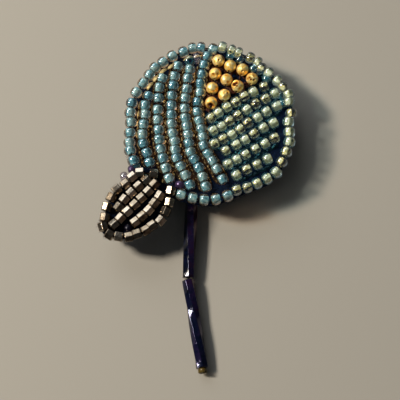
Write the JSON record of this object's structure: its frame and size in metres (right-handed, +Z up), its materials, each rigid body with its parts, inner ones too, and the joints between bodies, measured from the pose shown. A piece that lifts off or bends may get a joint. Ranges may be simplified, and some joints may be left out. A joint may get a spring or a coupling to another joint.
{
  "type": "beaded brooch",
  "caption": "Round brooch of seed bead strands on felt with a triangle of gold beads, a small bronze leaf and a stem of bugle beads, worn with a pin.",
  "frame": {"origin": "on the surface that the brooch lies on, under the middle of its bounding box", "axes": "+Z up out of the beaded face, +Y from the stem's end towards the top of the round, +X to the right of a viewer of the face"},
  "size_m": [0.0336, 0.0562, 0.0069],
  "materials": {
    "felt": "black felt",
    "teal_lined_glass": "topaz seed beads with a teal lining",
    "gold_lined_glass": "aqua seed beads with a gold lining",
    "gold_metal": "satin gold metal",
    "bronze_coated_glass": "hex-cut beads with a metallic bronze coat",
    "iris_glass": "opaque purple iris glass, six-sided and twisted",
    "topaz_glass": "small topaz bead",
    "thread": "beading thread",
    "steel": "nickel-plated steel"
  },
  "bodies": {
    "root": {"backing": "felt", "bugle_1": "iris_glass", "bugle_2": "iris_glass", "gold_bead_1": "gold_metal", "gold_bead_10": "gold_metal", "gold_bead_2": "gold_metal", "gold_bead_3": "gold_metal", "gold_bead_4": "gold_metal", "gold_bead_5": "gold_metal", "gold_bead_6": "gold_metal", "gold_bead_7": "gold_metal", "gold_bead_8": "gold_metal", "gold_bead_9": "gold_metal", "gold_thread": "thread", "leaf_base": "felt", "leaf_edge": "bronze_coated_glass", "leaf_row_1": "bronze_coated_glass", "leaf_row_2": "bronze_coated_glass", "leaf_row_3": "bronze_coated_glass", "pin_back": "steel", "rim_bottom": "teal_lined_glass", "rim_left": "teal_lined_glass", "rim_right": "gold_lined_glass", "row_1": "gold_lined_glass", "row_2": "gold_lined_glass", "row_3": "gold_lined_glass", "row_4": "gold_lined_glass", "row_5": "gold_lined_glass", "row_6": "gold_lined_glass", "stem_thread": "thread", "stop_bead": "topaz_glass", "strand_1": "teal_lined_glass", "strand_2": "teal_lined_glass", "strand_3": "teal_lined_glass", "strand_4": "teal_lined_glass", "strand_5": "teal_lined_glass"}
  },
  "joints": []
}
